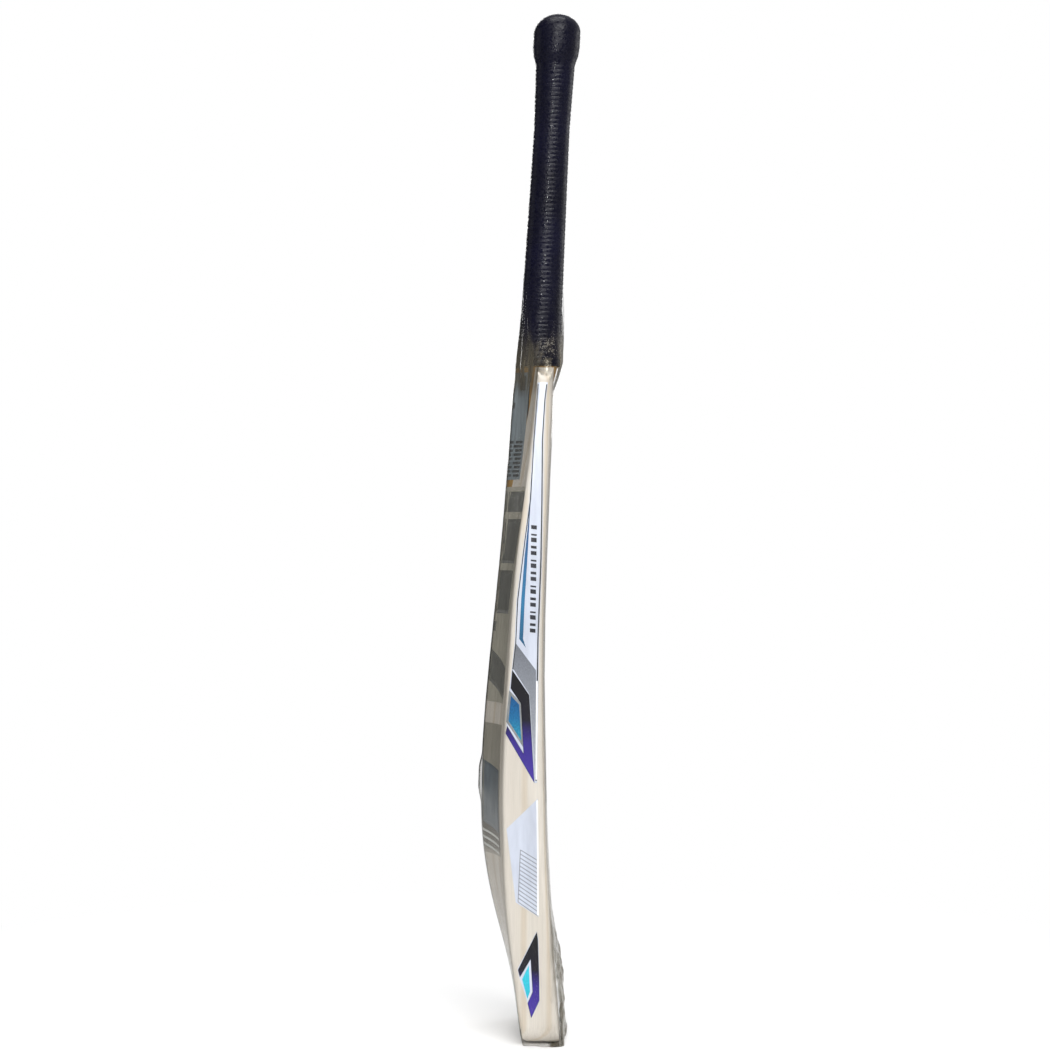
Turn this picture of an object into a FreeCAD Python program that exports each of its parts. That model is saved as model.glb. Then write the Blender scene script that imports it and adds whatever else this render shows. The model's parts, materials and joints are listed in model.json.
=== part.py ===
"""Short-handle cricket bat in a clear packing sleeve.

Frame: millimetres, +Z up the bat, toe on Z = 0, hitting face toward -Y,
spine toward +Y, X across the blade. The bat is symmetric about X = 0.
"""
import FreeCAD, Part
import math
import os

import Sketcher
from FreeCAD import Placement, Rotation, Vector

DOC = FreeCAD.newDocument("cricket_bat")
SHEET = DOC.addObject("Spreadsheet::Sheet", "sizes")

# ---------------------------------------------------------------- dimensions

# How far cutting shapes reach past the surface that they trim.
MARGIN = 10
# Length that spans any section of the bat, from side to side or front to back.
SPAN = 160
# How far into the blade the prisms over its flat edges reach.
EDGE_REACH = 1
# How far inside the toe's face and spine its rounded bottom edges begin.
TOE_INSET = 0.4
# How far below the cane's end the hole in the knob begins.
HOLE_OVERLAP = 2
# Least volume that a cut has to remove, and how near an edge counts as at a height.
LEAST_CUT = 1
EDGE_TOLERANCE = 0.01

SIZES = {
    "overall_length": 860,
    "blade_half_width": 54,
    "face_crown": 1.2,
    "neck_crown": 0.3,
    "front_corner_radius": 5,
    "back_corner_radius": 3,
    "shoulder_top": 560,
    "shoulder_side": 556,
    "shoulder_neck_half_width": 19,
    "shoulder_corner_radius": 9,
    "toe_corner_radius": 16,
    "toe_front_radius": 6,
    "toe_back_radius": 11,
    "splice_half_width": 22,
    "splice_tip_half_width": 2,
    "splice_tip_height": 398,
    "axis_height": 584.5,
    "axis_depth": -7.3,
    "axis_slope": 0.0557,
    "cane_top": 851,
    "slip_half_width": 4.7,
    "layer_pitch": 7.4,
    "spring_thickness": 1,
    "binding_thickness": 0.8,
    "binding_foot": 560.6,
    "grip_top": 859.2,
    "grip_top_radius": 14.5,
    "grip_hole_radius": 5,
    "sticker_thickness": 0.25,
    "sleeve_gap": 0.5,
    "sleeve_skin": 0.4,
}

# Blade stations from the toe up: height, depth of the face at its centre, of the
# back corner, of the spine crest, then half width and drop of the crest's rounding,
# and how deep the back is scooped as a share of the crest's rise over the corner.
BLADE = {
    "toe": (0.8, -23.8, 6.5, 9.0, 7, 0.3, 0.15),
    "toe_rise": (50, -20.2, 13.7, 16.1, 7, 0.3, 0.15),
    "swell_foot": (85, -17.6, 18.2, 25.0, 7, 0.8, 0.15),
    "swell_low": (120, -15.3, 21.6, 33.7, 7, 1.3, 0.15),
    "swell_high": (165, -13.0, 23.4, 40.5, 7, 1.8, 0.15),
    "swell_peak": (214, -11.7, 24.0, 41.6, 7, 1.9, 0.15),
    "upper_back": (300, -10.2, 19.8, 36.0, 7.5, 2.0, 0.17),
    "waist": (400, -12.3, 12.4, 25.9, 8.5, 2.6, 0.28),
    "splice": (480, -15.5, 2.3, 19.3, 9, 3.6, 0.45),
    "collar": (540, -18.2, -4.0, 15.0, 9.5, 4.2, 0.45),
    "shoulder": (565, -19.2, -6.5, 13.2, 10, 4.6, 0.42),
}
BLADE_FIELDS = ("height", "face", "corner", "spine", "crest", "drop", "sag")

# Ovals across the tilted handle axis: height, half depth, half width.
CANE = {
    "cane_foot": (545, 12.5, 12.0),
    "cane_shoulder": (563, 16.4, 14.4),
    "cane_low": (610, 14.7, 13.8),
    "cane_middle": (690, 13.5, 13.3),
    "cane_waist": (762, 12.6, 12.5),
    "cane_end": (851, 13.2, 13.1),
}
GRIP = {
    "grip_end": (563, 19.0, 17.0),
    "grip_low": (610, 17.3, 16.4),
    "grip_middle": (690, 16.1, 15.9),
    "grip_waist": (762, 15.2, 15.1),
    "grip_neck": (816, 16.6, 16.5),
}
KNOB = {
    "knob_foot": (816, 16.6, 16.5),
    "knob_rise": (824, 19.0, 18.9),
    "knob_full": (831, 19.8, 19.7),
    "knob_top": (859.2, 19.9, 19.8),
}
OVAL_FIELDS = ("height", "half_depth", "half_width")

# Sleeve stations above the blade: height, depth of the front, of the back corner
# and of the back's middle, half width, corner radius, then the back's rounding.
NECK = {
    "sleeve_shoulder": (562, -26.0, -3.0, 14.6, 54.9, 9, 14, 2.5),
    "sleeve_tent": (585, -26.9, 4.0, 12.0, 38.0, 12, 8, 1.0),
    "sleeve_wrist": (640, -28.2, 7.2, 7.5, 18.6, 13, 3, 0.2),
    "sleeve_middle": (690, -30.1, 3.8, 4.1, 17.2, 13, 3, 0.2),
    "sleeve_waist": (762, -33.3, -1.3, -1.0, 16.6, 13, 3, 0.2),
    "sleeve_neck": (808, -36.9, -3.0, -2.7, 17.6, 13, 3, 0.2),
    "sleeve_knob": (828, -42.0, -0.4, -0.1, 21.0, 15, 3, 0.2),
    "sleeve_crown": (852, -42.7, -1.7, -1.4, 21.0, 15, 3, 0.2),
    "sleeve_top": (859.6, -39.9, -5.3, -5.0, 17.0, 13, 3, 0.2),
}
NECK_FIELDS = ("height", "face", "corner", "spine", "half_width", "radius", "crest", "drop")


def fill_sheet():
    """Write every driving dimension into the spreadsheet under its own alias."""
    cells = dict(SIZES)
    for table, fields in (
        (BLADE, BLADE_FIELDS),
        (CANE, OVAL_FIELDS),
        (GRIP, OVAL_FIELDS),
        (KNOB, OVAL_FIELDS),
        (NECK, NECK_FIELDS),
    ):
        for station, values in table.items():
            for field, value in zip(fields, values):
                cells[f"{station}_{field}"] = value
    for row, (alias, value) in enumerate(cells.items(), start=1):
        SHEET.set(f"A{row}", alias)
        SHEET.set(f"B{row}", str(value))
        SHEET.setAlias(f"B{row}", alias)
    DOC.recompute()


def size(expression):
    """Value of a spreadsheet expression."""
    return float(SHEET.evalExpression(expression))


def cell(alias):
    """Reference to a driving dimension."""
    return f"sizes.{alias}"


# ------------------------------------------------------------ sketch helpers


def origin_plane(body, role):
    """Origin plane of a body."""
    return next(plane for plane in body.Origin.OriginFeatures if plane.Role == role)


def new_body(name):
    """Empty PartDesign body."""
    return DOC.addObject("PartDesign::Body", name)


def new_sketch(body, name, role, height=None):
    """Sketch on an origin plane of its body, raised to a height if one is given."""
    sketch = body.newObject("Sketcher::SketchObject", name)
    sketch.AttachmentSupport = (origin_plane(body, role), [""])
    sketch.MapMode = "FlatFace"
    if height is not None:
        sketch.setExpression("AttachmentOffset.Base.z", height)
    return sketch


def arc(first, middle, last):
    """Arc through three points, always turned anticlockwise as a sketch keeps it."""
    if (middle - first).cross(last - middle).z < 0:
        first, last = last, first
    return Part.Arc(first, middle, last)


def end_at(sketch, edge, point):
    """Which end of a sketch edge lies at a point: 1 is its start, 2 its end."""
    curve = sketch.Geometry[edge]
    if curve.StartPoint.distanceToPoint(point) < curve.EndPoint.distanceToPoint(point):
        return 1
    return 2


def close_loop(sketch, edges, corners):
    """Tie each edge to the next at the corner that they share."""
    for index, corner in enumerate(corners):
        before = edges[index - 1]
        after = edges[index]
        sketch.addConstraint(
            Sketcher.Constraint(
                "Coincident",
                before,
                end_at(sketch, before, corner),
                after,
                end_at(sketch, after, corner),
            )
        )


def bind(sketch, constraint, expression):
    """Add a dimension and drive it from the spreadsheet."""
    number = sketch.addConstraint(constraint)
    sketch.setExpression(f"Constraints[{number}]", expression)


def pin(sketch, edge, point, across, along):
    """Drive both coordinates of the edge's end at a point."""
    end = end_at(sketch, edge, point)
    for kind, expression, value in (
        ("DistanceX", across, point.x),
        ("DistanceY", along, point.y),
    ):
        bind(sketch, Sketcher.Constraint(kind, -1, 1, edge, end, value), expression)


def outline(sketch, corners):
    """Closed outline with every corner driven.

    Each corner is a pair of expressions or numbers. A corner with a third item
    starts a quarter round of that radius, which bulges toward the side given by
    the fourth item, a pair of signs; every other side is straight.
    """
    points = [Vector(size(str(c[0])), size(str(c[1])), 0) for c in corners]
    first_edge = sketch.GeometryCount
    for index, corner in enumerate(corners):
        start = points[index]
        stop = points[(index + 1) % len(points)]
        if len(corner) == 2:
            sketch.addGeometry(Part.LineSegment(start, stop), False)
            continue
        radius = size(str(corner[2]))
        toward = Vector(*corner[3], 0).normalize()
        bulge = radius * (1 - 1 / math.sqrt(2))
        middle = (start + stop) * 0.5 + toward * bulge
        sketch.addGeometry(arc(start, middle, stop), False)
    edges = list(range(first_edge, sketch.GeometryCount))
    close_loop(sketch, edges, points)
    for edge, corner, point in zip(edges, corners, points):
        pin(sketch, edge, point, str(corner[0]), str(corner[1]))
        if len(corner) > 2:
            radius = str(corner[2])
            bind(sketch, Sketcher.Constraint("Radius", edge, size(radius)), radius)


def loft(body, sketches, ruled=False):
    """Additive loft through a body's station sketches."""
    feature = body.newObject("PartDesign::AdditiveLoft", f"{body.Name}_loft")
    feature.Profile = sketches[0]
    feature.Sections = sketches[1:]
    feature.Ruled = ruled
    DOC.recompute()
    return feature


def cut_through(body, sketch):
    """Pocket through the whole body, both ways from the sketch's plane."""
    before = body.Shape.Volume
    pocket = body.newObject("PartDesign::Pocket", f"{sketch.Name}_pocket")
    pocket.Profile = sketch
    pocket.Type = "ThroughAll"
    pocket.Midplane = True
    DOC.recompute()
    if body.Shape.Volume > before - LEAST_CUT:
        raise RuntimeError(f"{pocket.Name} cut nothing")
    return pocket


# ------------------------------------------------------------ blade sections


def section(body, name, at):
    """Blade section at one height.

    `at` holds an expression for each of height, face, crown, corner, spine, crest,
    drop, half_width, front_radius and back_radius, whether the back is scooped, and
    if so its sag.
    """
    sketch = new_sketch(body, name, "XY_Plane", at["height"])
    inner_front = f"{at['half_width']} - {at['front_radius']}"
    front = f"{at['face']} + {at['crown']}"
    edge_front = f"{front} + {at['front_radius']}"
    edge_back = f"{at['corner']} - {at['back_radius']}"
    inner_back = f"{at['half_width']} - {at['back_radius']}"
    crest_side = f"{at['spine']} - {at['drop']}"
    right = (
        (inner_front, front),
        (at["half_width"], edge_front),
        (at["half_width"], edge_back),
        (inner_back, at["corner"]),
        (at["crest"], crest_side),
    )
    points = [Vector(size(x), size(y), 0) for x, y in right]
    mirror = [Vector(-p.x, p.y, 0) for p in points]
    slant = points[4] - points[3]

    def quarter(inner, outer):
        """Quarter round from the inner point across to the point on the edge."""
        centre = Vector(inner.x, outer.y, 0)
        reach = (inner + outer) * 0.5 - centre
        return arc(inner, centre + reach.normalize() * inner.distanceToPoint(centre), outer)

    def scoop(corner, crest, side):
        """Back slope from the corner to the crest, hollowed if it is scooped."""
        if not at["scooped"]:
            return Part.LineSegment(corner, crest)
        sag = size(f"{at['sag']} * ({at['spine']} - {at['corner']})")
        hollow = Vector(-side * slant.y, slant.x, 0).normalize()
        return arc(corner, (corner + crest) * 0.5 + hollow * sag, crest)

    crown = Vector(0, size(at["face"]), 0)
    crest = Vector(0, size(at["spine"]), 0)
    curves = (
        arc(mirror[0], crown, points[0]),
        quarter(points[0], points[1]),
        Part.LineSegment(points[1], points[2]),
        quarter(points[3], points[2]),
        scoop(points[3], points[4], 1),
        arc(points[4], crest, mirror[4]),
        scoop(mirror[3], mirror[4], -1),
        quarter(mirror[3], mirror[2]),
        Part.LineSegment(mirror[2], mirror[1]),
        quarter(mirror[0], mirror[1]),
    )
    for curve in curves:
        sketch.addGeometry(curve, False)
    loop = [mirror[0], *points, *reversed(mirror[1:])]
    close_loop(sketch, list(range(len(curves))), loop)
    for edge, point, (across, along) in zip(range(1, 6), points, right):
        pin(sketch, edge, point, across, along)
    for edge, index in ((9, 0), (8, 1), (8, 2), (6, 3), (6, 4)):
        partner = index + 1
        sketch.addConstraint(
            Sketcher.Constraint(
                "Symmetric",
                edge,
                end_at(sketch, edge, mirror[index]),
                partner,
                end_at(sketch, partner, points[index]),
                -2,
            )
        )
    for edge, radius in ((1, at["front_radius"]), (3, at["back_radius"])):
        bind(sketch, Sketcher.Constraint("Radius", edge, size(radius)), radius)
    sketch.addConstraint(Sketcher.Constraint("Equal", 1, 9))
    sketch.addConstraint(Sketcher.Constraint("Equal", 3, 7))
    for edge in (0, 5):
        radius = sketch.Geometry[edge].Radius
        sketch.addConstraint(Sketcher.Constraint("Radius", edge, radius))
    if at["scooped"]:
        radius = sketch.Geometry[4].Radius
        sketch.addConstraint(Sketcher.Constraint("Radius", 4, radius))
        sketch.addConstraint(Sketcher.Constraint("Equal", 4, 6))
    return sketch


def blade_station(station, grow="0", scooped=True):
    """Section expressions of a blade station, grown outward all round."""
    crest = cell(f"{station}_crest")
    drop = cell(f"{station}_drop")
    crest_radius = f"(({crest}^2 + {drop}^2) / (2 * {drop}))"
    wider = f"(1 + ({grow}) / {crest_radius})"
    return {
        "height": cell(f"{station}_height"),
        "face": f"{cell(f'{station}_face')} - ({grow})",
        "crown": cell("face_crown"),
        "corner": f"{cell(f'{station}_corner')} + ({grow})",
        "spine": f"{cell(f'{station}_spine')} + ({grow})",
        "crest": f"{crest} * {wider}",
        "drop": f"{drop} * {wider}",
        "sag": cell(f"{station}_sag"),
        "half_width": f"({cell('blade_half_width')} + ({grow}))",
        "front_radius": f"({cell('front_corner_radius')} + ({grow}))",
        "back_radius": f"({cell('back_corner_radius')} + ({grow}))",
        "scooped": scooped,
    }


def blade_loft(name, grow="0"):
    """Body lofted through every blade station."""
    body = new_body(name)
    sketches = [
        section(body, f"{name}_{station}", blade_station(station, grow)) for station in BLADE
    ]
    loft(body, sketches)
    return body


# ------------------------------------------------------------ blade and splice


def round_shoulders(body):
    """Cut the blade's top down to two gently falling, rounded shoulders."""
    sketch = new_sketch(body, "shoulders", "XZ_Plane")
    edge = cell("blade_half_width")
    top = cell("shoulder_top")
    side = cell("shoulder_side")
    radius = cell("shoulder_corner_radius")
    neck = cell("shoulder_neck_half_width")
    outline(
        sketch,
        (
            (edge, f"{side} - {radius}", radius, (1, 1)),
            (f"{edge} - {radius}", side),
            (neck, top),
            (f"-{neck}", top),
            (f"-({edge} - {radius})", side, radius, (-1, 1)),
            (f"-{edge}", f"{side} - {radius}"),
            (f"-({edge} + {MARGIN})", f"{side} - {radius}"),
            (f"-({edge} + {MARGIN})", f"{top} + {MARGIN}"),
            (f"{edge} + {MARGIN}", f"{top} + {MARGIN}"),
            (f"{edge} + {MARGIN}", f"{side} - {radius}"),
        ),
    )
    cut_through(body, sketch)


def round_toe(body):
    """Round the toe's two corners, and its bottom edges front and back."""
    edge = cell("blade_half_width")
    floor = cell("toe_height")
    radius = cell("toe_corner_radius")
    corners = new_sketch(body, "toe_corners", "XZ_Plane")
    for sign, toward in (("", (1, -1)), ("-", (-1, -1))):
        outline(
            corners,
            (
                (f"{sign}({edge} - {radius})", floor, radius, toward),
                (f"{sign}({edge})", f"{floor} + {radius}"),
                (f"{sign}({edge} + {MARGIN})", f"{floor} + {radius}"),
                (f"{sign}({edge} + {MARGIN})", f"{floor} - {MARGIN}"),
                (f"{sign}({edge} - {radius})", f"{floor} - {MARGIN}"),
            ),
        )
    cut_through(body, corners)
    profile = new_sketch(body, "toe_profile", "YZ_Plane")
    front = f"({cell('toe_face')} + {TOE_INSET})"
    front_radius = cell("toe_front_radius")
    back = f"({cell('toe_spine')} + {TOE_INSET})"
    back_radius = cell("toe_back_radius")
    outline(
        profile,
        (
            (f"{front} + {front_radius}", floor, front_radius, (-1, -1)),
            (front, f"{floor} + {front_radius}"),
            (f"{front} - {MARGIN}", f"{floor} + {front_radius}"),
            (f"{front} - {MARGIN}", f"{floor} - {MARGIN}"),
            (f"{front} + {front_radius}", f"{floor} - {MARGIN}"),
        ),
    )
    outline(
        profile,
        (
            (f"{back} - {back_radius}", floor, back_radius, (1, -1)),
            (back, f"{floor} + {back_radius}"),
            (f"{back} + {MARGIN}", f"{floor} + {back_radius}"),
            (f"{back} + {MARGIN}", f"{floor} - {MARGIN}"),
            (f"{back} - {back_radius}", f"{floor} - {MARGIN}"),
        ),
    )
    cut_through(body, profile)


def splice_prism():
    """V-shaped prism that the handle's splice fills, right through the blade."""
    body = new_body("splice_prism")
    sketch = new_sketch(body, "splice_outline", "XZ_Plane")
    wide = cell("splice_half_width")
    tip = cell("splice_tip_half_width")
    low = cell("splice_tip_height")
    top = cell("shoulder_top")
    outline(
        sketch,
        (
            (tip, low),
            (wide, top),
            (wide, f"{top} + {MARGIN}"),
            (f"-{wide}", f"{top} + {MARGIN}"),
            (f"-{wide}", top),
            (f"-{tip}", low),
        ),
    )
    pad = body.newObject("PartDesign::Pad", "splice_pad")
    pad.Profile = sketch
    pad.Midplane = True
    pad.Length = SPAN
    DOC.recompute()
    return body


def combine(kind, name, base, tool):
    """Part boolean of two shapes."""
    feature = DOC.addObject(f"Part::{kind}", name)
    feature.Base = base
    feature.Tool = tool
    DOC.recompute()
    return feature


# ------------------------------------------------------------ handle


def axis_depth(height):
    """Depth of the handle's leaning axis at a height."""
    return f"({cell('axis_depth')} - {cell('axis_slope')} * ({height} - {cell('axis_height')}))"


def oval_section(body, station, grow):
    """Oval section of the handle at one station."""
    height = cell(f"{station}_height")
    depth = f"({cell(f'{station}_half_depth')} + {grow})"
    width = f"({cell(f'{station}_half_width')} + {grow})"
    sketch = new_sketch(body, f"{body.Name}_{station}", "XY_Plane", height)
    middle = axis_depth(height)
    centre = Vector(0, size(middle), 0)
    deep = centre + Vector(0, size(depth), 0)
    wide = centre + Vector(size(width), 0, 0)
    sketch.addGeometry(Part.Ellipse(deep, wide, centre), False)
    sketch.exposeInternalGeometry(0)
    sketch.addConstraint(Sketcher.Constraint("PointOnObject", 0, 3, -2))
    sketch.addConstraint(Sketcher.Constraint("Vertical", 1))
    bind(sketch, Sketcher.Constraint("DistanceY", -1, 1, 0, 3, centre.y), middle)
    bind(sketch, Sketcher.Constraint("Distance", 1, 2 * size(depth)), f"2 * {depth}")
    bind(sketch, Sketcher.Constraint("Distance", 2, 2 * size(width)), f"2 * {width}")
    return sketch


def oval_loft(name, stations, grow="0"):
    """Body lofted through oval sections."""
    body = new_body(name)
    loft(body, [oval_section(body, station, grow) for station in stations], ruled=True)
    return body


def leveled_block(name, floor, top):
    """Block that spans the whole section between two heights."""
    block = DOC.addObject("Part::Box", name)
    block.Placement = Placement(Vector(-SPAN / 2, -SPAN / 2, 0), Rotation())
    block.Length = SPAN
    block.Width = SPAN
    block.setExpression("Height", f"{top} - {floor}")
    block.setExpression("Placement.Base.z", floor)
    DOC.recompute()
    return block


def leaning_box(name, left, right, front, back):
    """Box that leans with the handle, spanning the given local X and Y ranges."""
    foot = cell("splice_tip_height")
    lean = math.atan(size(cell("axis_slope")))
    box = DOC.addObject("Part::Box", name)
    box.Placement = Placement(Vector(), Rotation(Vector(1, 0, 0), math.degrees(lean)))
    box.setExpression("Length", f"{right} - ({left})")
    box.setExpression("Width", f"{back} - ({front})")
    box.setExpression("Height", f"{cell('overall_length')} - {foot} + 2 * {MARGIN}")
    box.setExpression("Placement.Base.x", left)
    box.setExpression("Placement.Base.y", f"{axis_depth(foot)} + ({front}) * {math.cos(lean)}")
    rise = f"({front}) * {math.sin(lean)}"
    box.setExpression("Placement.Base.z", f"{foot} - {MARGIN} + {rise}")
    DOC.recompute()
    return box


def cane_slips(blank):
    """Twelve cane slips, three across in each of four layers."""
    side = cell("slip_half_width")
    columns = {
        "left": (f"-{SPAN} / 2", f"-{side}"),
        "centre": (f"-{side}", side),
        "right": (side, f"{SPAN} / 2"),
    }
    pitch = cell("layer_pitch")
    half = f"{cell('spring_thickness')} / 2"
    layers = {
        "front": (f"-{SPAN} / 2", f"-{pitch} - {half}"),
        "mid_front": (f"-{pitch} + {half}", f"-{half}"),
        "mid_back": (half, f"{pitch} - {half}"),
        "back": (f"{pitch} + {half}", f"{SPAN} / 2"),
    }
    slips = {}
    for layer, (front, back) in layers.items():
        for column, (left, right) in columns.items():
            name = f"cane_slip_{layer}_{column}"
            box = leaning_box(f"{name}_box", left, right, front, back)
            slips[name] = combine("Common", name, blank, box)
    return slips


def rubber_springs(blank):
    """Three thin rubber sheets glued between the layers of cane."""
    pitch = cell("layer_pitch")
    half = f"{cell('spring_thickness')} / 2"
    springs = {}
    for place, middle in (("front", f"-{pitch}"), ("middle", "0"), ("back", pitch)):
        name = f"rubber_spring_{place}"
        front = f"{middle} - {half}"
        back = f"{middle} + {half}"
        box = leaning_box(f"{name}_box", f"-{SPAN} / 2", f"{SPAN} / 2", front, back)
        springs[name] = combine("Common", name, blank, box)
    return springs


def twine_binding(envelope, blank):
    """Glued twine wound round the cane, as one thin tube."""
    block = leveled_block("binding_block", cell("binding_foot"), cell("cane_top"))
    trimmed = combine("Common", "binding_trimmed", envelope, block)
    return combine("Cut", "twine_binding", trimmed, blank)


def rubber_grip(envelope):
    """Rubber sleeve with a rolled knob, open at the top over the cane's end."""
    outer = oval_loft("grip_outer", GRIP)
    knob = [oval_section(outer, station, "0") for station in KNOB]
    loft_feature = loft(outer, knob, ruled=True)
    top = size(cell("grip_top"))
    rim = next(
        f"Edge{index}"
        for index, edge in enumerate(loft_feature.Shape.Edges, start=1)
        if edge.BoundBox.ZMin > top - EDGE_TOLERANCE
    )
    fillet = outer.newObject("PartDesign::Fillet", "knob_rounding")
    fillet.Base = (loft_feature, [rim])
    fillet.setExpression("Radius", cell("grip_top_radius"))
    DOC.recompute()
    hole = DOC.addObject("Part::Cylinder", "grip_hole")
    hole.setExpression("Radius", cell("grip_hole_radius"))
    hole.setExpression("Height", f"2 * {MARGIN}")
    hole.setExpression("Placement.Base.y", axis_depth(cell("grip_top")))
    hole.setExpression("Placement.Base.z", f"{cell('cane_top')} - {HOLE_OVERLAP}")
    DOC.recompute()
    tube = combine("Cut", "grip_tube", outer, envelope)
    return combine("Cut", "rubber_grip", tube, hole)


# ------------------------------------------------------------ stickers

# Outlines on the blade's edge, as depth and height, from the front top corner.
EDGE_STICKERS = {
    "upper": (
        (-13.4, 545), (-11.8, 530.9), (-9.8, 498), (-9.4, 448.7), (-8.6, 399.5),
        (-6.1, 333.8), (-4.9, 251.6), (-4.5, 216.3), (-2.0, 216.3), (21.0, 255.8),
        (19.8, 280), (16.4, 308.3), (13.9, 331.3), (12.3, 366.6), (6.2, 415.9),
        (1.7, 448.7), (-1.2, 498), (-4.9, 545),
    ),
    "middle": (
        (-4.9, 203.2), (-5.7, 153.1), (-5.8, 106.3), (13.0, 118.2), (20.6, 178.6),
    ),
    "toe": (
        (-4.2, 94.5), (-5.6, 88), (-6.6, 56), (-6.8, 37), (0.2, 22.8),
        (4.0, 38), (10.2, 57), (11.6, 63.5),
    ),
}

# Half width, lowest and highest point of each sheet on the back.
BACK_STICKERS = {
    "back_label": (16, 466, 556),
    "back_upper_sticker": (37, 280, 460),
    "back_lower_sticker": (37, 153, 262),
}


def sticker_prism(name, role, corners, start, length):
    """Straight prism over a sticker's outline."""
    body = new_body(f"{name}_prism")
    sketch = new_sketch(body, f"{name}_outline", role, str(start))
    outline(sketch, corners)
    pad = body.newObject("PartDesign::Pad", f"{name}_pad")
    pad.Profile = sketch
    pad.Length = length
    DOC.recompute()
    return body


def stickers(blade_blank):
    """Thin printed sheets on both edges and on the back."""
    skin = blade_loft("sticker_skin", cell("sticker_thickness"))
    side = size(cell("blade_half_width"))
    prisms = {}
    for place, corners in EDGE_STICKERS.items():
        for hand, start in (("left", -side - MARGIN), ("right", side - EDGE_REACH)):
            name = f"edge_sticker_{place}_{hand}"
            length = MARGIN + EDGE_REACH
            prisms[name] = sticker_prism(name, "YZ_Plane", corners, start, length)
    for name, (half, low, high) in BACK_STICKERS.items():
        corners = ((-half, low), (half, low), (half, high), (-half, high))
        prisms[name] = sticker_prism(name, "XZ_Plane", corners, -SPAN / 2, SPAN / 2)
    sheets = {}
    for name, prism in prisms.items():
        patch = combine("Common", f"{name}_patch", skin, prism)
        sheets[name] = combine("Cut", name, patch, blade_blank)
    return sheets


# ------------------------------------------------------------ packing sleeve


def neck_station(station, grow):
    """Section expressions of a sleeve station round the neck and handle."""
    return {
        "height": cell(f"{station}_height"),
        "face": f"({cell(f'{station}_face')} - ({grow}))",
        "crown": cell("neck_crown"),
        "corner": f"({cell(f'{station}_corner')} + ({grow}))",
        "spine": f"({cell(f'{station}_spine')} + ({grow}))",
        "crest": cell(f"{station}_crest"),
        "drop": cell(f"{station}_drop"),
        "half_width": f"({cell(f'{station}_half_width')} + ({grow}))",
        "front_radius": cell(f"{station}_radius"),
        "back_radius": cell(f"{station}_radius"),
        "scooped": False,
    }


def sleeve_skin(name, blade_grow, neck_grow, floor, rise):
    """One skin of the sleeve: round the blade, then round the neck and handle."""
    blade_part = new_body(f"{name}_blade")
    low = []
    for station in BLADE:
        at = blade_station(station, blade_grow, scooped=False)
        if station == "toe":
            at["height"] = floor
        low.append(section(blade_part, f"{name}_{station}", at))
    loft(blade_part, low)
    collar_height = cell("collar_height")
    below = leveled_block(f"{name}_block", f"-{MARGIN}", collar_height)
    trimmed = combine("Common", f"{name}_trimmed", blade_part, below)
    neck_part = new_body(f"{name}_neck")
    collar = blade_station("collar", blade_grow, scooped=False)
    high = [section(neck_part, f"{name}_tent_foot", collar)]
    for station in NECK:
        at = neck_station(station, neck_grow)
        if station == "sleeve_top":
            at["height"] = f"{at['height']} + {rise}"
        high.append(section(neck_part, f"{name}_{station}", at))
    loft(neck_part, high, ruled=True)
    return combine("Fuse", name, trimmed, neck_part)


def film_sleeve():
    """Clear sleeve drawn tight over the whole bat and closed at both ends."""
    gap = cell("sleeve_gap")
    skin = cell("sleeve_skin")
    outer = sleeve_skin("sleeve_outer", f"{gap} + {skin}", "0", "0", skin)
    inner = sleeve_skin("sleeve_inner", gap, f"-{skin}", skin, "0")
    return combine("Cut", "film_sleeve", outer, inner)


# ------------------------------------------------------------ assembly


def build():
    """Every sub-part of the bat by node name."""
    fill_sheet()
    blank = blade_loft("blade_blank")
    round_shoulders(blank)
    round_toe(blank)
    prism = splice_prism()
    parts = {"blade": combine("Cut", "blade", blank, prism)}
    wedge = combine("Common", "splice_wedge", blank, prism)
    cane = oval_loft("cane_round", CANE)
    handle = combine("Fuse", "handle_blank", wedge, cane)
    parts.update(cane_slips(handle))
    parts.update(rubber_springs(handle))
    envelope = oval_loft("binding_envelope", CANE, cell("binding_thickness"))
    parts["twine_binding"] = twine_binding(envelope, handle)
    parts["rubber_grip"] = rubber_grip(envelope)
    parts.update(stickers(blank))
    parts["film_sleeve"] = film_sleeve()
    return parts


def check_and_export(parts):
    """Stop on any failed feature, then write one STEP file for each sub-part."""
    DOC.recompute()
    for feature in DOC.Objects:
        if "Invalid" in feature.State or "Error" in feature.State:
            raise RuntimeError(f"{feature.Name} failed: {feature.State}")
    os.makedirs("parts", exist_ok=True)
    for name, feature in parts.items():
        feature.Label = name
        shape = feature.Shape
        if shape.isNull() or not shape.isValid():
            raise RuntimeError(f"{name} has no valid shape")
        if len(shape.Solids) != 1:
            raise RuntimeError(f"{name} is {len(shape.Solids)} solids")
        shape.exportStep(f"parts/{name}.step")
        print(f"{name}: {shape.Volume / 1000:.2f} cm3")


check_and_export(build())
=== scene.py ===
"""Looks of a short-handle cricket bat in a clear packing sleeve."""

import json
import math

import bmesh
import bpy
import numpy as np
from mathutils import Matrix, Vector, noise
from mathutils.bvhtree import BVHTree


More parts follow.
